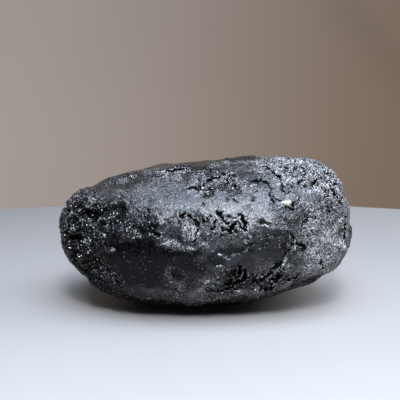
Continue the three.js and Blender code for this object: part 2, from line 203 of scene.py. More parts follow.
# Each mark: shape of its section, half width and depth in mm, then its path.
MARKS = [
    # the hollow over the wide bowl, and the crack down its right wall
    (steep, 0.52, 0.9, [(-3.4, 29), (-2.6, 28), (-1.7, 26), (-1.2, 24)]),
    (steep, 0.46, 0.9, [(-2.2, 25), (-1.6, 24)]),
    (wedge, 0.26, 1.0, [(-1.5, 23), (-1.5, 19), (-1.7, 16), (-2.0, 13)]),
    (steep, 0.51, 0.9, [(-5.4, 31), (-4.4, 30)]),
    # pits of the satin skin's left end
    (steep, 0.31, 0.6, [(-12.5, 36), (-12.3, 33)]),
    (steep, 0.35, 0.6, [(-13, 28), (-12.5, 27)]),
    (steep, 0.46, 0.7, [(-11.4, 22), (-11, 20), (-10.5, 18)]),
    (steep, 0.24, 0.3, [(-19.2, 50), (-19.1, 49)]),
    (steep, 0.24, 0.3, [(-15.8, 42), (-15.7, 41)]),
    (steep, 0.24, 0.3, [(-0.4, 36), (0.1, 37)]),
    # recesses between the knobs of the narrow tip
    (rounded, 1.25, 0.8, [(-21.7, 38), (-20.4, 40), (-19, 41)]),
    (rounded, 0.90, 0.5, [(-18.8, 41), (-18.1, 38)]),
    (rounded, 1.20, 0.8, [(-27.5, 44), (-26.1, 41), (-24.3, 37)]),
    (rounded, 1.00, 0.7, [(-25.2, 34), (-23.7, 27), (-23, 28)]),
    (rounded, 0.90, 0.9, [(-31.1, 18), (-29.6, 20), (-28.2, 19)]),
    (rounded, 0.90, 0.8, [(-31.3, 13), (-29.3, 4)]),
    (rounded, 0.70, 0.7, [(-27.3, 20), (-27.5, 15)]),
    (rounded, 0.80, 0.7, [(-22.1, 13), (-20.9, 11)]),
    (rounded, 0.70, 0.6, [(-25, 17), (-23.8, 14)]),
    (rounded, 0.60, 0.6, [(-30.3, 36), (-29.2, 34)]),
    (rounded, 0.70, 0.7, [(-28.7, 55), (-27.5, 48)]),
    (rounded, 1.00, 0.8, [(-32.62, 100), (-32.6, 80), (-32.3, 62), (-31.4, 57)]),
    # grooves of the crown
    (steep, 0.62, 1.5, [(-10.5, 77), (-9, 76), (-6.9, 75), (-5.5, 76), (-4.1, 76)]),
    (steep, 0.55, 1.3, [(-3.1, 71), (-2.0, 70), (-0.4, 66)]),
    (steep, 0.30, 0.8, [(-12.0, 84), (-11.4, 77)]),
    (steep, 0.28, 0.8, [(-9.9, 64), (-8.1, 60)]),
    (wedge, 0.28, 0.8, [(-4.3, 50), (-3.5, 51), (-2.8, 51), (-2.2, 50)]),
    # the crumpled patch of the crown
    (wedge, 0.36, 1.00, [(-1.4, 51), (-0.6, 53), (0.3, 55), (1.5, 58), (3.3, 61)]),
    (wedge, 0.31, 0.81, [(3.4, 67), (4.2, 64), (5.3, 61), (7.3, 59)]),
    (wedge, 0.24, 0.72, [(1, 48), (1.9, 47), (3.6, 48)]),
    (wedge, 0.31, 0.90, [(5.9, 53), (6.7, 51), (7.1, 49), (7.4, 47)]),
    (wedge, 0.22, 0.72, [(3.9, 52), (4.8, 55), (5.5, 54)]),
    (wedge, 0.22, 0.63, [(2, 51), (2.5, 50), (3.3, 51)]),
    (wedge, 0.22, 0.63, [(-0.4, 47), (0.3, 43), (1.4, 42)]),
    (wedge, 0.22, 0.54, [(5.1, 41), (5.8, 38)]),
    (wedge, 0.22, 0.54, [(-1.9, 54), (-1.3, 55)]),
    (wedge, 0.22, 0.54, [(-0.4, 44), (0.3, 41)]),
    (wedge, 0.22, 0.54, [(0.5, 61), (1.2, 62)]),
    # cracks between the crown and the front
    (wedge, 0.29, 0.81, [(9.2, 57), (10, 54), (11.4, 54), (12.7, 54)]),
    (wedge, 0.25, 0.81, [(12.7, 56), (13.5, 51), (14.5, 46)]),
    (wedge, 0.29, 0.99, [(14.6, 46), (14.6, 41), (14.8, 37), (15.2, 34)]),
    (wedge, 0.25, 0.81, [(15.5, 39), (16.3, 37), (17, 37)]),
    (wedge, 0.32, 1.0, [(16.1, 62), (16.7, 55), (17.3, 52), (17.2, 47), (18, 42)]),
    (wedge, 0.23, 0.72, [(18.2, 41), (19, 43), (19.7, 42)]),
    (wedge, 0.23, 0.63, [(11.3, 45), (10.6, 41), (10.3, 36)]),
    (wedge, 0.22, 0.45, [(8.9, 33), (9.7, 30)]),
    (wedge, 0.22, 0.45, [(9.6, 34), (10.1, 31)]),
    (wedge, 0.22, 0.45, [(6.7, 38), (7.6, 36)]),
    (wedge, 0.25, 0.72, [(12.4, 23), (13.5, 22), (14.4, 21)]),
    (wedge, 0.27, 0.63, [(21.2, 38), (20, 34), (19.1, 31)]),
    # the nest of pits right of the crack
    (steep, 0.33, 1.00, [(2.9, 31), (3.6, 30), (4, 27), (4.7, 24), (5.4, 23)]),
    (wedge, 0.25, 0.90, [(5, 28), (6.6, 27)]),
    (steep, 0.33, 1.00, [(7.2, 28), (8.2, 27), (8.8, 24), (9, 22), (8.9, 19)]),
    (wedge, 0.26, 0.99, [(5.8, 21), (6.5, 23), (7.2, 24)]),
    (wedge, 0.26, 0.99, [(-0.1, 26), (0.5, 27), (1, 29)]),
    (wedge, 0.25, 0.90, [(0.9, 22), (1.5, 21), (2.1, 22), (2.3, 25)]),
    (wedge, 0.26, 0.99, [(4, 19), (4.7, 20), (5.5, 19), (6.2, 21)]),
    (wedge, 0.23, 0.81, [(3.2, 23), (3.6, 20)]),
    (wedge, 0.26, 0.90, [(7.7, 23), (8.1, 19)]),
    (wedge, 0.25, 0.81, [(3.6, 16), (4.7, 16), (5.6, 18)]),
    (wedge, 0.20, 0.72, [(1.4, 29), (1.8, 27)]),
    (wedge, 0.20, 0.72, [(7.3, 25), (7.8, 24)]),
    (wedge, 0.20, 0.72, [(6.4, 19), (6.9, 17)]),
    # short gouges of the blunt end's crown
    (wedge, 0.48, 0.9, [(13.5, 73), (14.5, 70), (15.6, 64)]),
    (wedge, 0.32, 0.7, [(17.9, 77), (18.8, 74)]),
    (wedge, 0.32, 0.8, [(19.6, 58), (20.4, 56), (21.5, 57)]),
    (wedge, 0.35, 0.8, [(24.7, 84), (25.7, 92), (26.7, 91)]),
    (steep, 0.39, 0.8, [(25.1, 55), (26.6, 62)]),
    (steep, 0.33, 0.8, [(24.3, 51), (25.2, 53)]),
    (wedge, 0.32, 0.7, [(21.9, 92), (23.5, 95)]),
    (steep, 0.33, 0.7, [(29, 48), (30.2, 46)]),
    (wedge, 0.37, 0.9, [(29.1, 63), (30, 62), (31, 64)]),
    (wedge, 0.32, 0.7, [(30.8, 55), (31.7, 59)]),
    (wedge, 0.32, 0.7, [(22, 74), (22.8, 70)]),
    (wedge, 0.30, 0.7, [(22.6, 49), (23.4, 46)]),
    (wedge, 0.30, 0.7, [(26.5, 50), (27.4, 46)]),
    (wedge, 0.30, 0.7, [(18.5, 50), (19.3, 48)]),
    (wedge, 0.30, 0.7, [(27.9, 74), (28.8, 72)]),
    (wedge, 0.30, 0.7, [(16, 64), (17, 63)]),
    (wedge, 0.26, 0.7, [(17.9, 65), (18.4, 59)]),
    (wedge, 0.26, 0.7, [(20.5, 68), (21.3, 65)]),
    (wedge, 0.26, 0.7, [(23.2, 67), (23.8, 63)]),
    (wedge, 0.26, 0.7, [(26.3, 77), (27.1, 73)]),
    (wedge, 0.26, 0.7, [(20.5, 51), (21.5, 52)]),
    (wedge, 0.26, 0.7, [(30.8, 42), (31.4, 37)]),
    # the grainy front of the blunt end
    (wedge, 0.30, 0.7, [(21.5, 17), (21.9, 21), (22.8, 23), (23.7, 23), (24.8, 24)]),
    (wedge, 0.25, 0.5, [(23.1, 10), (24, 10), (24.8, 13)]),
    (steep, 0.32, 0.7, [(19, 12), (19.7, 8)]),
    (steep, 0.36, 0.7, [(20.7, 6), (21.4, 4), (22, 1)]),
    (steep, 0.46, 0.9, [(32, 3), (32.8, -9)]),
    (steep, 0.33, 0.7, [(32, 16), (32.3, 10)]),
    (steep, 0.37, 0.5, [(26.2, -14), (27, -21)]),
    (wedge, 0.26, 0.5, [(27.5, -7), (28.6, -14)]),
    # the long crack and the ledges that run down the lower front
    (wedge, 0.28, 0.94, [(18.6, 15), (19.3, 10), (19.6, 7), (18.8, 4), (18, 1)]),
    (wedge, 0.32, 0.94, [(18, 1), (16.9, -4), (15.7, -9), (14.3, -13), (12.6, -19)]),
    (wedge, 0.38, 0.94, [(16.8, -13), (15.9, -18), (14.9, -24), (13.9, -30)]),
    (wedge, 0.26, 0.77, [(15.9, -4), (16.3, -8)]),
    (wedge, 0.32, 0.85, [(18.6, -21), (19.7, -22), (21, -22)]),
    (wedge, 0.26, 0.68, [(22.5, -24), (23.4, -23), (24.5, -26)]),
    (wedge, 0.28, 0.77, [(22.8, -35), (25.1, -41)]),
    (wedge, 0.28, 0.68, [(19.8, -34), (21.4, -37)]),
    (wedge, 0.26, 0.68, [(11.8, -28), (13.4, -25)]),
    (wedge, 0.32, 0.77, [(10.1, -18), (11.3, -18), (12.4, -17), (13.3, -15)]),
    (wedge, 0.24, 0.77, [(9, 7), (10, 10), (11.5, 11)]),
    (wedge, 0.22, 0.59, [(11.7, 6), (13, 7)]),
    (steep, 0.41, 0.94, [(5.7, -13), (6.3, -10), (7.4, -6)]),
    (steep, 0.41, 0.94, [(7.9, -8), (8.1, -5)]),
    (steep, 0.44, 0.94, [(9.2, -10), (8.5, -14), (7.5, -17)]),
    (steep, 0.30, 0.68, [(6.1, -17), (5.2, -19)]),
    (wedge, 0.35, 0.94, [(0.4, -20), (2.1, -22), (3.7, -22), (5, -21), (6.4, -19), (7.5, -17)]),
    (wedge, 0.22, 0.59, [(2.5, -9), (3.4, -12)]),
    (wedge, 0.22, 0.51, [(9.7, -24), (10.7, -26)]),
    # flow ridges under the narrow tip, and the little pits of the plain lower front
    (wedge, 0.32, 0.7, [(-26.3, -3), (-25.2, -10), (-23.5, -19)]),
    (wedge, 0.32, 0.6, [(-24.4, 2), (-23.5, -5)]),
    (wedge, 0.32, 0.6, [(-19.9, -16), (-18.8, -20)]),
    (wedge, 0.26, 0.5, [(-22.1, -5), (-21, -12)]),
    (steep, 0.28, 0.5, [(-7.4, -7), (-6.7, -7)]),
    (steep, 0.29, 0.5, [(-5.6, -7), (-5, -7)]),
    (steep, 0.28, 0.4, [(-6.3, -11), (-5.9, -13)]),
    (steep, 0.26, 0.4, [(-4.1, -13), (-3.7, -14)]),
    (steep, 0.26, 0.4, [(-12.2, -17), (-11.7, -18)]),
    (steep, 0.28, 0.5, [(-15.6, -21), (-14.7, -23)]),
    # cracks, gouges and shallow bowls of the back
    (wedge, 0.34, 1.0, [(-17, 143), (-13, 138), (-9, 137), (-5, 141)]),
    (wedge, 0.28, 0.8, [(-9, 137), (-8, 130), (-9, 124)]),
    (wedge, 0.30, 0.9, [(3, 148), (4.5, 155), (4, 163), (5.5, 170)]),
    (wedge, 0.26, 0.7, [(4.5, 155), (7.5, 157)]),
    (wedge, 0.36, 1.0, [(-6, 203), (-1, 208), (4, 207), (9, 202), (12, 196)]),
    (steep, 0.40, 0.9, [(9.5, 182), (10.5, 178)]),
    (steep, 0.46, 1.0, [(-8.5, 178), (-7.5, 173)]),
    (steep, 0.34, 0.8, [(-12, 166), (-11.5, 163)]),
    (steep, 0.36, 0.8, [(16, 168), (17.5, 166), (18, 162)]),
    (steep, 0.30, 0.7, [(20, 178), (21, 181)]),
    (rounded, 2.6, 0.8, [(-15, 190), (-12, 186)]),
    (rounded, 2.2, 0.7, [(14, 140), (17, 143)]),
    (rounded, 3.0, 0.7, [(-1, 184), (2, 182)]),
    (rounded, 1.4, 0.8, [(-26, 150), (-24, 160), (-25, 168)]),
    (rounded, 1.2, 0.7, [(-28, 184), (-26, 190)]),
    (wedge, 0.30, 0.7, [(-20, 206), (-17, 212), (-13, 214)]),
    (wedge, 0.28, 0.7, [(19, 206), (22, 202), (26, 203)]),
    # the dark nick under the pale crust
    (steep, 0.41, 0.7, [(17.9, 31), (19, 31)]),
]
# What stands proud of the skin, its top painted pale as a highlight: half width and height in mm, then its
# path.
RIDGES = [
    (0.50, 0.50, [(-2.9, 23), (-2.6, 20), (-2.7, 16)]),
    # teeth between the pits of the nest
    (0.29, 0.46, [(1.3, 26), (1.6, 24)]),
    (0.29, 0.46, [(2.7, 28), (3.1, 25)]),
    (0.31, 0.52, [(4.1, 22), (5, 21)]),
    (0.29, 0.46, [(5.8, 25), (6.5, 25)]),
    (0.29, 0.52, [(6.7, 22), (7.2, 20)]),
    (0.31, 0.52, [(8.1, 25), (8.3, 22)]),
    (0.33, 0.57, [(8.3, 18), (8.6, 16)]),
    (0.29, 0.52, [(4.5, 18), (5.1, 19)]),
    (0.29, 0.52, [(1.8, 20), (2.5, 19)]),
    (0.31, 0.52, [(7.5, 17), (7.9, 18)]),
    (0.33, 0.52, [(8.6, 13), (9, 11)]),
    # curls of the crumpled patch
    (0.28, 0.40, [(-3.8, 48), (-2.9, 48)]),
    (0.30, 0.45, [(0.3, 45), (0.9, 45)]),
    (0.26, 0.40, [(1.9, 56), (2.8, 58)]),
    (0.26, 0.40, [(4.6, 58), (5.4, 56)]),
    (0.26, 0.40, [(4.4, 50), (5.4, 52)]),
    (0.26, 0.35, [(-0.3, 60), (0.2, 57)]),
    (0.26, 0.35, [(6.3, 39), (6.6, 41)]),
    (0.26, 0.35, [(6.8, 39), (7.4, 37)]),
    (0.26, 0.40, [(8.9, 51), (9.2, 48)]),
    # rims of the bowls, and the edges of the cracks and ledges, painted bright as highlights
    (0.34, 0.16, [(2.8, 4), (3.8, 2.4), (4.9, 1.8), (6.0, 2.4), (7.2, 3.2), (8.4, 4)]),
    (0.30, 0.30, [(8.4, 4), (9.3, 6), (10.2, 8)]),
    (0.36, 0.40, [(12.2, 21), (13.3, 21), (14.1, 19)]),
    (0.36, 0.45, [(18.4, -2), (17.4, -6), (16.3, -10)]),
    (0.36, 0.40, [(14.1, -11), (12.8, -14), (11.4, -14)]),
    (0.36, 0.40, [(20.1, 9), (20.4, 5), (19.7, 2)]),
    (0.34, 0.40, [(15.6, -24), (16.2, -19)]),
    (0.50, 0.50, [(31.8, -9), (32.9, -31)]),
    (0.36, 0.35, [(23.6, 12), (24.9, 14)]),
    (0.34, 0.40, [(22.4, 19), (23.2, 20)]),
    (0.36, 0.35, [(10.4, 49), (11.9, 49)]),
    (1.10, 0.50, [(-10.5, 82), (-7, 81), (-4, 81)]),
    (0.40, 0.40, [(-11, 70), (-8.9, 68), (-6.8, 67), (-4.5, 69)]),
    (0.40, 0.40, [(0.1, -11), (0.5, -10), (1.1, -11)]),
    (0.30, 0.35, [(-6.1, -16), (-5.1, -17)]),
    (0.30, 0.35, [(-7.6, -10), (-7, -11)]),
    # knobs of the narrow tip
    (0.80, 0.50, [(-31.9, 76), (-31.1, 71)]),
    (0.55, 0.50, [(-32.1, 63), (-30.5, 48), (-29.1, 39), (-28.5, 35)]),
    (0.50, 0.45, [(-30.8, 33), (-29.9, 29), (-29.0, 25)]),
    (0.90, 0.45, [(-28.3, 70), (-26.9, 58), (-25.9, 52)]),
    (0.45, 0.35, [(-27.4, 48), (-26.2, 46)]),
    (0.80, 0.40, [(-24.3, 68), (-24, 80)]),
    (0.45, 0.40, [(-23.4, 21), (-22.4, 20)]),
    (0.45, 0.40, [(-20.5, 10), (-19.8, 9)]),
    (0.45, 0.40, [(-26, 18), (-25.6, 14)]),
    (0.50, 0.40, [(-17.1, 21), (-16.3, 26)]),
    (0.36, 0.32, [(-26.4, 56), (-25.7, 52), (-25.4, 48)]),
    (0.36, 0.40, [(-28.3, 36), (-27.7, 31), (-27.4, 27)]),
    (0.36, 0.40, [(-27.8, 18), (-27.2, 14)]),
    (0.36, 0.40, [(-31.0, 69), (-30.8, 66)]),
]
CRUST = (0.90, 0.30, [(18.0, 34), (18.8, 34)])  # a crumb of pale mineral, stuck in a nick
# Broad swells and, where the height is negative, broad hollows: reach and height in mm.
SWELLS = [
    # the crown, from the narrow end to the blunt one
    (5.0, 1.25, [(-22, 92), (-15, 87)]),
    (8.0, -0.75, [(1, 88), (11, 92)]),
    (5.5, 0.50, [(17, 94), (23, 94)]),
    # both ends
    (3.0, 0.80, [(-32.0, 95), (-31.8, 75)]),
    (3.2, -1.20, [(-32.68, 95), (-32.85, 80), (-32.6, 62)]),
    (4.0, -0.65, [(-33.4, 52), (-33.8, 32)]),
    (4.0, 0.50, [(33, 56)]),
    (3.5, 0.45, [(-33.2, 8), (-33, -4)]),
    (5.0, -0.55, [(34, 15), (34, 0)]),
    (5.0, 0.55, [(30, -28)]),
    # the underside's front, and the floor of the wide bowl
    (8.0, -0.60, [(-13, -55), (-1, -55)]),
    (6.0, 0.30, [(4, -55), (11, -55)]),
    (5.8, 0.90, [(-9.0, 20), (-5.0, 18)]),
    (5.0, 0.50, [(-14, 63), (-3, 61)]),
    (5.0, 0.50, [(11.5, 16), (13.5, 15)]),
    (2.2, 0.35, [(18.9, 24), (20.2, 24)]),
]

LIP = 0.20  # share of a mark's depth that its sharp edge stands proud
LIP_MIDDLE, LIP_SPREAD = 1.25, 0.65  # where that edge stands, in half widths of the mark
ROUND_SHADE = 0.45  # how much painted shade a rounded mark gets beside a sharp one of its depth
HIGHLIGHT_WIDTH = 0.45  # mm; a ridge of a greater half width gets less painted highlight

carved = np.zeros(len(skin))  # mm cut away
shaded = np.zeros(len(skin))  # the same, for the painted shade in cracks and pits
raised = np.zeros(len(skin))  # mm standing proud
painted_highlight_height = np.zeros(len(skin))  # the same, for the painted highlight on lips and ridges
swollen = np.zeros(len(skin))  # mm swollen
for section, half_width, deep, path in MARKS:
    share = distance_to(laid(path), 2 * half_width) / half_width
    cut = deep * section(share)
    lip = LIP * deep * rounded((share - LIP_MIDDLE) / LIP_SPREAD)
    carved = np.maximum(carved, cut)
    shaded = np.maximum(shaded, cut * (ROUND_SHADE if section is rounded else 1))
    raised = np.maximum(raised, lip)
    painted_highlight_height = np.maximum(painted_highlight_height, lip)
for half_width, tall, path in RIDGES + [CRUST]:
    ridge = tall * rounded(distance_to(laid(path), half_width) / half_width)
    raised = np.maximum(raised, ridge)
    painted_highlight_height = np.maximum(painted_highlight_height, ridge * min(1, HIGHLIGHT_WIDTH / half_width) ** 2)
for reach, tall, path in SWELLS:
    swollen += tall * rounded(distance_to(laid(path, BROAD_STEP), reach, skin) / reach)

# Regions, each as (reach in mm, share, path), fading out over the last of its reach.
# Where the glass is smooth and satin.
SATIN = [
    (5.8, 1, [(-20, 54), (-16, 52)]),
    (3.4, 1, [(-13, 56), (-5, 55)]),
    (5.4, 1, [(-16, 54), (-12, 50), (-7, 46)]),
    (4.6, 1, [(-7, 43), (-1, 39), (5.6, 36), (12, 33)]),
    (4.0, 0.8, [(-14, 40), (-11, 35), (-6, 33)]),
    (3.4, 1, [(9.4, 57), (9.4, 47)]),
    (4.2, 1, [(14, 50), (17.5, 46)]),
    (4.2, 1, [(11.8, 42), (12.6, 30), (12.4, 23)]),
    (3.2, 1, [(17.4, 43), (17.0, 36)]),
    (3.8, 1, [(5.3, 70), (11.8, 71)]),
    (4.6, 0.30, [(-8.5, 18), (-4.5, 15)]),
    (2.2, 0.7, [(-3.4, 23), (-3.2, 16)]),
    (4.6, 0.85, [(-14, 152), (-6, 149), (-1, 146)]),
    (3.4, 0.7, [(9, 152), (12, 158)]),
    (0.8, 0.32, [(2.8, 4), (3.8, 2.4), (4.9, 1.8), (6.0, 2.4), (7.2, 3.2), (8.4, 4)]),
]
# Where the etching is shallow.
CALM = [
    (7.5, 0.85, [(-20, 8), (-13, 1), (-2, -1)]),
    (6.5, 0.65, [(-15, -14), (-4, -15)]),
    (5.2, 0.96, [(-11, 19), (-9, 16), (-3.5, 12)]),
    (2.6, 0.92, [(2.8, 4), (4.5, 1), (6.9, 2), (10.1, 7)]),
    (6.5, 0.85, [(-20, 160), (-12, 154), (-2, 152)]),
    (4.5, 0.80, [(9, 165), (13, 178), (10, 190)]),
    (6.0, 0.70, [(-20, 215), (-8, 226), (6, 228)]),
    (4.4, 0.97, [(10.9, -1), (16.2, -1)]),
    (3.6, 0.88, [(3.8, 10), (7.4, 8.5)]),
    (3.8, 0.75, [(12.6, 13), (17.3, 10)]),
    (8.0, 0.9, [(-24, 106), (-12, 106), (-2, 106)]),
    (4.5, 0.6, [(-15, 92), (-9, 88)]),
    (8.5, 0.6, [(21, 28), (24, 16), (26, 2), (25.4, -11)]),
    (1.5, 0.85, [(2.8, 4), (3.8, 2.4), (4.9, 1.8), (6.0, 2.4), (7.2, 3.2), (8.4, 4)]),
]
# Where painted shade makes the skin black, with no reflection: shaded parts such as the lower front, the
# underside and the narrow tip.
PAINTED_SHADE_PATCHES = [
    (8.8, 0.75, [(-24, 5), (-13, -1), (-5, -4)]),
    (7.0, 0.25, [(-27, -4), (-22, -14)]),
    (8.0, 0.45, [(-17, -14), (-8, -16)]),
    (4.2, 0.80, [(-24, 42), (-20, 38), (-16, 30), (-13, 27)]),
    (5.0, 0.14, [(-9, 46), (0, 42)]),
    (6.0, 0.55, [(-26, 30), (-23, 18)]),
    (4.4, 0.40, [(11, 0), (16, 0)]),
    (8.0, 0.35, [(-24, 106), (-12, 104), (0, 98)]),
    (3.6, 0.30, [(-12.5, 16), (-9.5, 12)]),
    (3.0, 0.35, [(-9, 10), (-4, 10)]),
    (7.0, 0.88, [(-31, 36), (-30, 10), (-27, -4)]),
    (3.4, 0.55, [(-25, 66), (-18, 67), (-12, 68)]),
    (4.0, 0.60, [(0, 44), (4, 43), (9, 45)]),
    (3.2, 0.60, [(-7, 85), (0, 83)]),
    (3.0, 0.45, [(6, 60), (9, 56)]),
    (3.0, 0.40, [(7, -7), (8.5, -12), (5, -20), (1, -21)]),
    (3.0, 0.45, [(18.5, 29), (21, 24)]),
    (6.0, 0.60, [(-24, -32), (-14, -42), (0, -48)]),
    (5.5, 0.65, [(6, -42), (16, -40), (25, -42)]),
]
# Where a fine grey frost lies on the skin, laid on thicker where the blunt right end and its crown catch the
# light: partly frost, partly painted light.
FROST_AND_PAINTED_LIGHT = [
    (8.0, 0.16, [(-22, 58), (-10, 48), (2, 38), (12, 32)]),
    (4.0, 0.24, [(-19, 49), (-14, 51), (-8, 53)]),
    (8.0, 0.12, [(-24, 92), (-8, 88)]),
    (4.5, 0.10, [(-14, 30), (-8, 22)]),
    (3.2, 0.18, [(-12.5, 19), (-10.5, 15)]),
    (8.5, 1.0, [(19, 76), (26, 72), (31, 58)]),
    (5.0, 1.0, [(32, 60), (33, 30), (33, 5)]),
    (6.0, 0.15, [(20, 40), (22, 30), (21, 24)]),
    (5.5, 0.8, [(24, 56), (31, 45)]),
    (5.5, 0.9, [(19, 64), (27, 60)]),
    (3.5, 0.6, [(13, 68), (18, 62), (17, 57)]),
    (4.5, 0.9, [(22, 54), (28, 52)]),
    (5.0, 0.7, [(22, -24), (29, -26)]),
    (4.0, 0.65, [(3, 90), (12, 92)]),
    (3.0, 0.40, [(-14, 94), (-11, 86)]),
    (3.5, 0.25, [(6, 70), (11, 71)]),
    (9.0, 0.75, [(20, 112), (28, 135), (30, 165)]),
    (8.0, 0.60, [(26, 190), (28, 215)]),
    (4.0, 0.50, [(-8, 205), (2, 214), (10, 208)]),
    (3.5, 0.50, [(-10, 132), (-4, 134)]),
    (7.0, 0.32, [(30, 22), (28, 10)]),
    (8.0, 0.95, [(29, -2), (27, -16)]),
    (3.5, 0.30, [(20.5, 22), (22, 12)]),
    (4.0, 0.40, [(22.0, 29), (24, 26)]),
    (3.6, 0.9, [(24.5, 58), (25.3, 49)]),
    (7.0, 0.78, [(15, 88), (26, 88), (30, 82)]),
    (4.4, 0.5, [(-2, 52), (3, 55), (6.5, 54)]),
    (3.0, 0.22, [(-13, 76), (-4, 73)]),
    (2.6, 0.6, [(-12.5, 66), (-8, 64)]),
    (4.0, 0.2, [(10, 42), (17, 50)]),
    (4.0, 0.5, [(1, 26), (5, 25), (8, 22)]),
    (4.0, 0.1, [(-31, 72), (-24, 66)]),
    (5.0, 0.30, [(-10, -26), (0, -30), (8, -31)]),
    (4.0, 0.25, [(8, -31), (14, -31)]),
    (2.6, 0.90, [(0, -19), (2, -24), (3, -27)]),
    (2.6, 0.80, [(7, -26), (12, -28)]),
    (2.0, 0.80, [(-7, -8), (-6, -11)]),
    (2.0, 0.60, [(-5, -17), (-3, -20)]),
    (2.6, 0.25, [(-26, 66), (-20, 72), (-12, 71)]),
    (3.6, 0.35, [(-3, -13), (2, -16)]),
    (3.2, 0.15, [(-1, 18), (1, 12), (3, 14)]),
    (5.0, 0.36, [(14, -12), (20, -20), (27, -26)]),
    (3.5, 0.45, [(31, -8), (32.5, 12)]),
    (2.4, 0.8, [(-3.6, 22), (-3.4, 15)]),
]
# Where pits and worm gouges crowd the skin.
CRUMPLED = [
    (5.0, 1, [(-2, 51), (3, 57), (7, 54)]),
    (3.6, 1, [(3, 49), (7, 47)]),
    (3.0, 1, [(-12, 78), (-6, 76), (0, 70)]),
    (3.0, 1, [(-12.5, 66), (-8, 64)]),
    (4.5, 1, [(2, 90), (12, 92)]),
    (5.0, 1, [(-3, 205), (5, 210), (10, 202)]),
    (7.0, 0.9, [(22, 120), (27, 145), (26, 170)]),
    (6.0, 1, [(3, -18), (8, -13), (12, -17)]),
    (5.0, 1, [(14, -20), (20, -22), (25, -30)]),
    (8.0, 1, [(19, 76), (27, 68), (30, 50)]),
    (6.0, 1, [(-30, 42), (-25, 27), (-22, 12)]),
    (4.0, 0.8, [(-28, -10), (-24, -28)]),
]
# Where more of the fine facets flash.
GLINTING = [
    (6.5, 0.3, [(-31, 40), (-28, 12), (-24, -6)]),
    (4.0, 1.0, [(-25, 16), (-22, 6), (-23, -6), (-24, -14)]),
    (3.2, 0.8, [(-28, 64), (-22, 70), (-16, 70)]),
    (3.6, 0.2, [(-18, 24), (-13, 20)]),
    (2.8, 1.0, [(0, -19), (2, -24), (3, -28)]),
    (2.8, 1.0, [(5, -28), (12, -29)]),
    (3.0, 0.8, [(-7, -26), (1, -31)]),
    (2.2, 1.0, [(-7, -8), (-6, -11)]),
    (2.2, 0.8, [(-5, -17), (-3, -20)]),
    (3.0, 0.5, [(0, -8), (3, -5)]),
    (3.2, 0.8, [(16, -8), (19, 2)]),
    (3.0, 0.5, [(-12, 70), (-4, 74)]),
    (3.5, 0.7, [(2, 88), (12, 90)]),
]
# Where the small lumps stand higher.
KNOBBLY = [
    (8.0, 1, [(-33, 60), (-30, 30), (-28, 0)]),
    (6.0, 1, [(-30, 80), (-25, 70)]),
    (5.5, 1, [(-25, 30), (-23, 18), (-23, -8)]),
    (5.0, 0.8, [(-8, -32), (4, -34), (14, -30)]),
    (8.0, 1, [(-31, 120), (-31, 180), (-31, 240)]),
    (5.0, 0.8, [(-28, -10), (-24, -28)]),
]

EDGE = 1.8  # how soon a region is full, in from its edge
MOST_CALM = 0.95  # the most of its etching that calm skin loses
CALMING = 150  # rounds of smoothing, where the skin is calmest
# Shoves in mm again, longer ones, so that no region ends in a neat line.
frayed = skin + 0.9 * ragged(6.0, 30) + 0.5 * ragged(2.5, 40)


def region(parts):
    """How much of a region each point has, 0 to 1."""
    cover = np.zeros(len(skin))
    for reach, share, path in parts:
        away = distance_to(laid(path, BROAD_STEP), reach, frayed)
        within = np.clip(EDGE * rounded(away / reach), 0, 1)
        cover = np.maximum(cover, share * within)
    return cover


def keep_on_skin(name, values):
    """One number for each point of the mesh, kept for the etching and for the glass."""
    column = stone.data.attributes.new(name, "FLOAT", "POINT")
    column.data.foreach_set("value", values.astype(np.float32))


satin = region(SATIN)
calm = np.maximum(satin, region(CALM))
crust_away = distance_to(laid(CRUST[2]), CRUST[0]) / CRUST[0]
# "sunk" carries the painted shade of cracks and pits, and "proud" the painted highlight of lips and ridges.
for name, values in (
    ("satin", satin),
    ("etching", 1 - np.minimum(calm, MOST_CALM)),
    ("painted_shade", region(PAINTED_SHADE_PATCHES) * (1 - satin / 2)),
    ("frost_and_painted_light", region(FROST_AND_PAINTED_LIGHT)),
    ("crumpled", region(CRUMPLED)),
    ("knobbly", region(KNOBBLY)),
    ("glinting", region(GLINTING)),
    ("crust", np.clip(1 - crust_away, 0, 1)),
    ("sunk", shaded),
    ("proud", painted_highlight_height),
):
    keep_on_skin(name, values)
skin += calm[:, None] * (smoothed(skin, CALMING) - skin)
skin += outward * (swollen + raised - carved)[:, None]
stone.data.vertices.foreach_set("co", (skin * MM).ravel())
stone.data.update()

# ---- The etched skin ----------------------------------------------------------------
# Everywhere but on its satin skin the glass is eaten into lumps, round pits, short worm
# gouges and a fine grain. Geometry Nodes strew these over the carved stone.


def feed(tree, socket, value):
    """Links a socket to an input, or sets a plain value on it."""
    if isinstance(value, bpy.types.NodeSocket):
        tree.links.new(value, socket)
    else:
        socket.default_value = value


def maths(tree, operation, *values):
    """A Math node on numbers or sockets, giving its result socket."""
    node = tree.nodes.new("ShaderNodeMath")
    node.operation = operation
    for socket, value in zip(node.inputs, values):
        feed(tree, socket, value)
    return node.outputs[0]


def placed(tree, kind, sockets=None, **settings):
    """A new node with its settings, and its named inputs fed."""
    node = tree.nodes.new(kind)
    for setting, value in settings.items():
        setattr(node, setting, value)
    for name, value in (sockets or {}).items():
        feed(tree, node.inputs[name], value)
    return node


def eased(tree, value, start, end, first=0.0, last=1.0):
    """value from start to end, as a smooth step from first to last."""
    ranged = placed(tree, "ShaderNodeMapRange", interpolation_type="SMOOTHSTEP")
    for socket, number in zip(ranged.inputs, (value, start, end, first, last)):
        feed(tree, socket, number)
    return ranged.outputs[0]


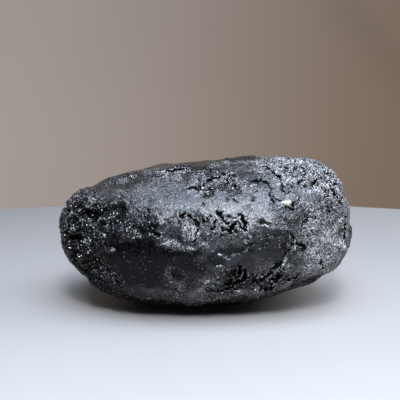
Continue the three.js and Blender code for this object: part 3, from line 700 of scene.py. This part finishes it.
# The etching's own inputs, all in mm but the seed.
SKIN_INPUTS = {
    "Lump Size": 3.0,
    "Lump Height": 0.14,
    "Knob Size": 1.3,
    "Knob Height": 0.11,
    "Pit Spacing": 1.6,
    "Pit Depth": 0.42,
    "Small Pit Spacing": 0.9,
    "Small Pit Depth": 0.28,
    "Gouge Size": 1.6,
    "Gouge Depth": 0.60,
    "Grain Size": 0.55,
    "Grain Height": 0.13,
    "Seed": 4.0,
}
KNOB_GAIN = 2.2  # how much higher the small lumps stand on the knobbly skin, in shares
REST_CLEAR, REST_FADE = 0.05, 1.2  # mm up from the table; the etching fades in between
MOST_TRIANGLES = 190_000


def etched_skin(glass):
    """The Geometry Nodes tree that lays lumps, pits, gouges and grain on the skin."""
    tree = bpy.data.node_groups.new("etched skin", "GeometryNodeTree")
    tree.is_modifier = True
    tree.interface.new_socket("Geometry", in_out="INPUT", socket_type="NodeSocketGeometry")
    for name, value in SKIN_INPUTS.items():
        socket = tree.interface.new_socket(name, in_out="INPUT", socket_type="NodeSocketFloat")
        socket.default_value = value
    tree.interface.new_socket("Geometry", in_out="OUTPUT", socket_type="NodeSocketGeometry")
    given = tree.nodes.new("NodeGroupInput").outputs
    done = tree.nodes.new("NodeGroupOutput").inputs

    place = tree.nodes.new("GeometryNodeInputPosition").outputs[0]
    in_mm = placed(tree, "ShaderNodeVectorMath", operation="SCALE")
    feed(tree, in_mm.inputs[0], place)
    in_mm.inputs["Scale"].default_value = 1 / MM
    in_mm = in_mm.outputs[0]

    def noise(size, detail=2.0, apart=0.0):
        """Noise of features about size mm across, 0 to 1; apart keeps it unlike the others."""
        node = placed(tree, "ShaderNodeTexNoise", noise_dimensions="4D")
        feed(tree, node.inputs["Vector"], in_mm)
        feed(tree, node.inputs["W"], maths(tree, "ADD", given["Seed"], apart))
        feed(tree, node.inputs["Scale"], maths(tree, "DIVIDE", 1.0, size))
        node.inputs["Detail"].default_value = detail
        return node.outputs[0]

    def signed(value):
        return maths(tree, "MULTIPLY_ADD", value, 2.0, -1.0)

    def named(name):
        node = placed(tree, "GeometryNodeInputNamedAttribute", data_type="FLOAT")
        node.inputs["Name"].default_value = name
        return node.outputs[0]

    def billows(size, tall, apart):
        """Rounded lumps with sharp creases between them, as heights in mm."""
        swell = maths(tree, "ABSOLUTE", signed(noise(size, 1.5, apart)))
        return maths(tree, "MULTIPLY", maths(tree, "MULTIPLY_ADD", swell, 3.0, -0.6), tall)

    def pits(spacing, deep, apart):
        """Round pits of all sizes up to nearly the spacing, as depths in mm."""
        cells = placed(tree, "ShaderNodeTexVoronoi", voronoi_dimensions="4D")
        feed(tree, cells.inputs["Vector"], in_mm)
        feed(tree, cells.inputs["W"], maths(tree, "ADD", given["Seed"], apart))
        feed(tree, cells.inputs["Scale"], maths(tree, "DIVIDE", 1.0, spacing))
        draw = placed(tree, "FunctionNodeSeparateColor")
        feed(tree, draw.inputs[0], cells.outputs["Color"])
        smallest, largest = 0.10, 0.46  # radius, as a share of the spacing
        radius = eased(tree, draw.outputs[0], 0.15, 1.0, smallest, largest)
        share = maths(tree, "DIVIDE", cells.outputs["Distance"], radius)
        bowl = maths(tree, "SUBTRACT", 1.0, maths(tree, "MULTIPLY", share, share))
        bowl = maths(tree, "SQRT", maths(tree, "MAXIMUM", bowl, 0.0))
        size = maths(tree, "DIVIDE", radius, largest)
        return maths(tree, "MULTIPLY", maths(tree, "MULTIPLY", bowl, size), deep)

    def gouges(size, deep, crowding, apart):
        """Short worm gouges, where one noise crosses its middle and another is high; then
        the lips beside them."""
        crossing = maths(tree, "ABSOLUTE", signed(noise(size, 1.0, apart)))
        gate = maths(tree, "MULTIPLY_ADD", crowding, 0.16, noise(size, 1.0, apart + 2.0))
        gated = maths(tree, "MULTIPLY", eased(tree, gate, 0.56, 0.62), deep)
        groove = eased(tree, crossing, 0.0, 0.10, 1.0, 0.0)
        fading = eased(tree, crossing, 0.16, 0.26, 1.0, 0.0)
        lip = maths(tree, "MULTIPLY", eased(tree, crossing, 0.08, 0.14), fading)
        return maths(tree, "MULTIPLY", groove, gated), maths(tree, "MULTIPLY", lip, gated)

    crumpled = named("crumpled")
    knobbly = maths(tree, "MULTIPLY_ADD", named("knobbly"), KNOB_GAIN, 1.0)
    lumps = maths(
        tree,
        "ADD",
        billows(given["Lump Size"], given["Lump Height"], 0.0),
        maths(tree, "MULTIPLY", billows(given["Knob Size"], given["Knob Height"], 2.0), knobbly),
    )
    grain = maths(tree, "MULTIPLY", signed(noise(given["Grain Size"], 2.0, 3.0)), given["Grain Height"])
    worms, lips = gouges(given["Gouge Size"], given["Gouge Depth"], crumpled, 7.0)
    more_worms, more_lips = gouges(given["Gouge Size"], given["Gouge Depth"], crumpled, 17.0)
    worms = maths(tree, "MAXIMUM", worms, more_worms)
    lips = maths(tree, "MULTIPLY", maths(tree, "MAXIMUM", lips, more_lips), LIP)
    holes = maths(
        tree,
        "MAXIMUM",
        pits(given["Pit Spacing"], given["Pit Depth"], 0.0),
        pits(given["Small Pit Spacing"], given["Small Pit Depth"], 5.0),
    )
    eaten = maths(tree, "MAXIMUM", crumpled, named("knobbly"))
    holes = maths(tree, "MULTIPLY", holes, maths(tree, "MULTIPLY_ADD", eaten, 0.5, 0.5))
    sunk = maths(tree, "MAXIMUM", holes, worms)
    relief = maths(tree, "SUBTRACT", maths(tree, "ADD", maths(tree, "ADD", lumps, lips), grain), sunk)

    above_rest = placed(tree, "ShaderNodeSeparateXYZ")
    feed(tree, above_rest.inputs[0], in_mm)
    clear = eased(tree, above_rest.outputs["Z"], REST_CLEAR, REST_FADE)
    share = maths(tree, "MULTIPLY", named("etching"), clear)

    push = placed(tree, "ShaderNodeVectorMath", operation="SCALE")
    feed(tree, push.inputs[0], tree.nodes.new("GeometryNodeInputNormal").outputs[0])
    feed(tree, push.inputs["Scale"], maths(tree, "MULTIPLY", maths(tree, "MULTIPLY", relief, share), MM))
    # The pits and gouges deepen "sunk", for the painted shade in them, and their lips raise "proud", for the
    # painted highlight on them.
    noted = given["Geometry"]
    for name, value in (("sunk", sunk), ("proud", lips)):
        note = placed(tree, "GeometryNodeStoreNamedAttribute", data_type="FLOAT", domain="POINT")
        feed(tree, note.inputs["Geometry"], noted)
        note.inputs["Name"].default_value = name
        feed(tree, note.inputs["Value"], maths(tree, "MULTIPLY_ADD", value, share, named(name)))
        noted = note.outputs[0]
    moved = placed(tree, "GeometryNodeSetPosition", {"Geometry": noted, "Offset": push.outputs[0]})
    whole = placed(tree, "GeometryNodeRealizeInstances", {"Geometry": moved.outputs[0]})
    finished = placed(tree, "GeometryNodeSetMaterial", {"Geometry": whole.outputs[0], "Material": glass})
    feed(tree, done[0], finished.outputs[0])
    return tree


# The glass: black, satin where it is smooth, glinting on fine facets where it is etched, and grey with frost
# where the etching is finest, the grey partly painted light. Lips and ridge tops are painted pale as a
# highlight, and cracks, pits and shaded patches are painted black with no reflection at all: painted shade.
BLACK_GLASS = (0.005, 0.005, 0.006, 1)
PAINTED_SHADE_BLACK = (0.003, 0.003, 0.003, 1)
FROST_AND_LIGHT_GREY = (0.48, 0.465, 0.455, 1)
CRUMB_EDGE = (0.08, 0.085, 0.06, 1)
CRUMB = (0.32, 0.33, 0.25, 1)
DIM_GLINT, BRIGHT_GLINT = (0.03, 0.03, 0.03, 1), (0.82, 0.76, 0.69, 1)
FACET_SIZE = 0.25  # mm
BUMP_HEIGHT = 0.35  # mm


def tektite_glass():
    """The one material of the stone."""
    material = bpy.data.materials.new("tektite_glass")
    material.use_nodes = True
    tree = material.node_tree
    shader = tree.nodes["Principled BSDF"]
    place = tree.nodes.new("ShaderNodeTexCoord").outputs["Object"]

    def noise(size, detail=2.0):
        sockets = {"Vector": place, "Scale": 1 / (size * MM), "Detail": detail}
        return placed(tree, "ShaderNodeTexNoise", sockets).outputs[0]

    def on_skin_value(name):
        return placed(tree, "ShaderNodeAttribute", attribute_name=name).outputs["Fac"]

    def mixed(share, first, second):
        mix = placed(tree, "ShaderNodeMix", data_type="RGBA")
        feed(tree, mix.inputs["Factor"], share)
        for name, value in (("A", first), ("B", second)):
            feed(tree, mix.inputs[name], value)
        return mix.outputs["Result"]

    def vector_maths(operation, first, second):
        node = placed(tree, "ShaderNodeVectorMath", operation=operation)
        feed(tree, node.inputs[0], first)
        feed(tree, node.inputs["Scale" if operation == "SCALE" else 1], second)
        return node.outputs[0]

    satin = on_skin_value("satin")
    etched = on_skin_value("etching")
    # Painted shade: the deeper a crack or pit is cut, the blacker it is painted.
    depth = eased(tree, on_skin_value("sunk"), 0.16, 0.50, 0.0, 0.92)
    open_skin = maths(tree, "SUBTRACT", 1.0, depth)

    specks = eased(tree, noise(0.34, 3.0), 0.45, 0.58, 0.03, 1.0)
    patchy = eased(tree, noise(2.2, 2.0), 0.38, 0.62, 0.50, 1.10)
    specks = maths(tree, "MULTIPLY", specks, patchy)
    # Frost, partly real and partly painted light, speckled in patches.
    frost_and_highlight = maths(tree, "MULTIPLY", on_skin_value("frost_and_painted_light"), specks)
    # Painted highlight: lips and ridge tops are painted pale, in full on calm skin and broken by the specks
    # where it is etched.
    edges = eased(tree, on_skin_value("proud"), 0.08, 0.32, 0.0, 0.9)
    calm_highlight = maths(tree, "MULTIPLY_ADD", etched, -0.6, 0.6)
    highlight_share = maths(tree, "MAXIMUM", calm_highlight, maths(tree, "MULTIPLY_ADD", specks, 0.7, 0.3))
    edges = maths(tree, "MULTIPLY", edges, highlight_share)
    frost_and_highlight = maths(tree, "MULTIPLY", maths(tree, "MAXIMUM", frost_and_highlight, edges), open_skin)
    colour = mixed(frost_and_highlight, BLACK_GLASS, FROST_AND_LIGHT_GREY)
    crust = on_skin_value("crust")
    colour = mixed(eased(tree, crust, 0.02, 0.25), colour, CRUMB_EDGE)
    crumbs = maths(tree, "MULTIPLY_ADD", noise(0.5), 0.3, crust)
    colour = mixed(eased(tree, crumbs, 0.38, 0.5), colour, CRUMB)

    facets = placed(tree, "ShaderNodeTexVoronoi", {"Vector": place, "Scale": 1 / (FACET_SIZE * MM)})
    draw = placed(tree, "ShaderNodeSeparateColor")
    feed(tree, draw.inputs[0], facets.outputs["Color"])
    chance = maths(tree, "MULTIPLY_ADD", etched, 0.03, draw.outputs[0])
    chance = maths(tree, "MULTIPLY_ADD", noise(1.4, 1.0), 0.16, chance)
    chance = maths(tree, "MULTIPLY_ADD", on_skin_value("glinting"), 0.10, chance)
    chance = maths(tree, "MULTIPLY_ADD", on_skin_value("frost_and_painted_light"), 0.03, chance)
    showing = maths(tree, "MULTIPLY_ADD", maths(tree, "POWER", etched, 1.4), 0.92, 0.08)
    fresh = maths(tree, "MULTIPLY", eased(tree, chance, 1.03, 1.05), showing)
    fresh = maths(tree, "MULTIPLY", fresh, maths(tree, "SUBTRACT", 1.0, satin))
    # Cracks, pits and the painted-shade patches turn black and fully metallic, so that they reflect nothing:
    # painted shade.
    painted_shade = maths(tree, "MULTIPLY", on_skin_value("painted_shade"), maths(tree, "SUBTRACT", 1.0, edges))
    black = maths(tree, "MAXIMUM", depth, painted_shade)
    glint = mixed(maths(tree, "POWER", draw.outputs[1], 2.0), DIM_GLINT, BRIGHT_GLINT)
    colour = mixed(fresh, mixed(black, colour, PAINTED_SHADE_BLACK), glint)
    feed(tree, shader.inputs["Base Color"], colour)
    feed(tree, shader.inputs["Metallic"], maths(tree, "MAXIMUM", fresh, black))
    shader.inputs["IOR"].default_value = 1.5
    feed(tree, shader.inputs["Roughness"], eased(tree, satin, 0.0, 1.0, 0.22, 0.32))

    bump = placed(tree, "ShaderNodeBump")
    pebbled = maths(tree, "MULTIPLY", noise(0.46, 3.0), maths(tree, "MULTIPLY_ADD", etched, 0.85, 0.1))
    fine = maths(tree, "MULTIPLY", noise(0.36, 2.0), 0.24)
    leathery = maths(tree, "MULTIPLY", maths(tree, "MULTIPLY_ADD", noise(1.1, 2.0), 0.28, fine), satin)
    feed(tree, bump.inputs["Height"], maths(tree, "ADD", pebbled, leathery))
    bump.inputs["Distance"].default_value = BUMP_HEIGHT * MM
    bump.inputs["Strength"].default_value = 1.0
    rough = maths(tree, "MULTIPLY_ADD", satin, 0.10, etched)
    lean = maths(tree, "MAXIMUM", maths(tree, "ADD", rough, 0.03), fresh)
    tilt = vector_maths("SCALE", vector_maths("SUBTRACT", facets.outputs["Color"], (0.5, 0.5, 0.5)), lean)
    facet = placed(tree, "ShaderNodeVectorMath", operation="NORMALIZE")
    feed(tree, facet.inputs[0], vector_maths("ADD", bump.outputs[0], tilt))
    feed(tree, shader.inputs["Normal"], facet.outputs[0])
    return material


glass = tektite_glass()
etching = stone.modifiers.new("etched skin", "NODES")
etching.node_group = etched_skin(glass)
for item in etching.node_group.interface.items_tree:
    if item.in_out == "INPUT" and item.name in SKIN_INPUTS:
        etching[item.identifier] = SKIN_INPUTS[item.name]
thinned = stone.modifiers.new("thinned", "DECIMATE")
thinned.ratio = MOST_TRIANGLES / (2 * len(stone.data.polygons))
stone.data = worked_in(stone, "tektite_glass")
stone.modifiers.clear()
for vertex in stone.data.vertices:
    vertex.co.z = max(vertex.co.z, 0)  # nothing goes through the table
stone.data.shade_smooth()

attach(stone, "root")
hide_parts("tektite")

# ---- Studio -------------------------------------------------------------------------
# A pale round tabletop under the stone, a warm grey wall that glows with painted light and a painted shadow,
# a broad cool soft light overhead, a small crisp one beside it and a weaker one from the right.

TABLE_RADIUS, TABLE_THICKNESS, TABLE_EDGE = 0.24, 0.02, 0.003
TABLE_BACK = 0.100  # how far the table reaches behind the stone


def tabletop():
    """The round top that the stone lies on, its upper face at height 0."""
    disc = bmesh.new()
    bmesh.ops.create_cone(
        disc,
        cap_ends=True,
        segments=256,
        radius1=TABLE_RADIUS,
        radius2=TABLE_RADIUS,
        depth=TABLE_THICKNESS,
    )
    rim = [edge for edge in disc.edges if all(vertex.co.z > 0 for vertex in edge.verts)]
    bmesh.ops.bevel(disc, geom=rim, offset=TABLE_EDGE, segments=4, affect="EDGES")
    middle = (0, TABLE_BACK - TABLE_RADIUS, -TABLE_THICKNESS / 2)
    bmesh.ops.translate(disc, verts=disc.verts, vec=middle)
    mesh = bpy.data.meshes.new("tabletop")
    disc.to_mesh(mesh)
    disc.free()
    mesh.shade_smooth()
    table = bpy.data.objects.new("tabletop", mesh)
    bpy.context.scene.collection.objects.link(table)
    paint = bpy.data.materials.new("pale paint")
    paint.use_nodes = True
    shader = paint.node_tree.nodes["Principled BSDF"]
    shader.inputs["Base Color"].default_value = (0.46, 0.43, 0.405, 1)
    shader.inputs["Roughness"].default_value = 0.55
    mesh.materials.append(paint)
    return table


tabletop()


def light_panel(name, size, place, aim, power, colour):
    """A flat panel of light: metres, watts and its colour."""
    lamp = bpy.data.lights.new(name, "AREA")
    lamp.shape = "RECTANGLE"
    lamp.size, lamp.size_y = size
    lamp.energy = power
    lamp.color = colour
    light = bpy.data.objects.new(name, lamp)
    light.location = place
    light.rotation_euler = (Vector(aim) - Vector(place)).to_track_quat("-Z", "Y").to_euler()
    bpy.context.scene.collection.objects.link(light)
    return light


def wall():
    """A wall far behind that glows with painted light, brighter at its left and a little darker at its top,
    with a faint painted slanting shadow at its right; it lights nothing diffusely.
    """
    mesh = bpy.data.meshes.new("wall")
    corners = [(side * 1.5, 1.2, z) for side, z in ((-1, -0.6), (1, -0.6), (1, 1.4), (-1, 1.4))]
    mesh.from_pydata(corners, [], [(0, 1, 2, 3)])
    backdrop = bpy.data.objects.new("wall", mesh)
    bpy.context.scene.collection.objects.link(backdrop)
    paint = bpy.data.materials.new("wall paint")
    paint.use_nodes = True
    tree = paint.node_tree
    shader = tree.nodes["Principled BSDF"]
    shader.inputs["Base Color"].default_value = (0, 0, 0, 1)
    place = tree.nodes.new("ShaderNodeTexCoord").outputs["Object"]
    across = placed(tree, "ShaderNodeSeparateXYZ", {0: place})
    glow = placed(tree, "ShaderNodeMix", data_type="RGBA")
    feed(tree, glow.inputs["Factor"], eased(tree, across.outputs["X"], -0.33, 0.33))
    glow.inputs["A"].default_value = (0.352, 0.304, 0.282, 1)
    glow.inputs["B"].default_value = (0.184, 0.131, 0.095, 1)
    feed(tree, shader.inputs["Emission Color"], glow.outputs["Result"])
    # Painted shadow: a slanting band at the right, a little darker.
    slanting = maths(tree, "MULTIPLY_ADD", across.outputs["Z"], 0.88, across.outputs["X"])
    painted_shadow = maths(tree, "SUBTRACT", eased(tree, slanting, 0.13, 0.20), eased(tree, slanting, 0.20, 0.25))
    painted_light = maths(tree, "MULTIPLY_ADD", painted_shadow, -0.09, eased(tree, across.outputs["Z"], -0.20, 0.05, 1.02, 0.93))
    feed(tree, shader.inputs["Emission Strength"], painted_light)
    mesh.materials.append(paint)
    backdrop.visible_diffuse = False
    return backdrop


wall()

stone_middle = (cad_box[0] + cad_box[1]) / 2
light_panel("overhead", (1.30, 1.28), (0.16, -0.36, 1.16), stone_middle, 41.0, (0.655, 0.795, 1.0))
light_panel("sparkle", (0.20, 0.20), (0.04, -0.55, 0.75), stone_middle, 8.5, (0.9, 0.93, 1.0))
light_panel("right", (0.45, 0.45), (0.62, 0.05, 0.50), stone_middle, 3.2, (0.85, 0.91, 1.0))


def room():
    """A dim room, seen as a warm grey where nothing stands before it."""
    world = bpy.data.worlds.new("room")
    world.use_nodes = True
    tree = world.node_tree
    seen = placed(tree, "ShaderNodeMix", data_type="RGBA")
    feed(tree, seen.inputs["Factor"], tree.nodes.new("ShaderNodeLightPath").outputs["Is Camera Ray"])
    seen.inputs["A"].default_value = (0.035, 0.035, 0.037, 1)
    seen.inputs["B"].default_value = (0.25, 0.21, 0.185, 1)
    feed(tree, tree.nodes["Background"].inputs["Color"], seen.outputs["Result"])
    return world


bpy.context.scene.world = room()

# ---- Camera -------------------------------------------------------------------------
# Straight before the stone's front, a quarter of a metre from its middle, and looking
# fifteen degrees down on it.

CAMERA_DISTANCE = 0.250
CAMERA_HEIGHT_ANGLE = 15  # degrees
FILM_WIDTH, LENS = 36, 94.2  # mm
AIM_ABOVE = 0.00695  # the stone lies a little under the middle of the frame
AIM_LEFT = 0.0011

camera_data = bpy.data.cameras.new("camera")
camera_data.sensor_width = FILM_WIDTH
camera_data.lens = LENS
camera_data.clip_start = 0.01
camera = bpy.data.objects.new("camera", camera_data)
bpy.context.scene.collection.objects.link(camera)
angle = math.radians(CAMERA_HEIGHT_ANGLE)
camera.location = stone_middle + CAMERA_DISTANCE * Vector((0, -math.cos(angle), math.sin(angle)))
aim = stone_middle + Vector((-AIM_LEFT, 0, AIM_ABOVE))
camera.rotation_euler = (aim - camera.location).to_track_quat("-Z", "Y").to_euler()
bpy.context.scene.camera = camera
bpy.context.scene.view_settings.view_transform = "Standard"
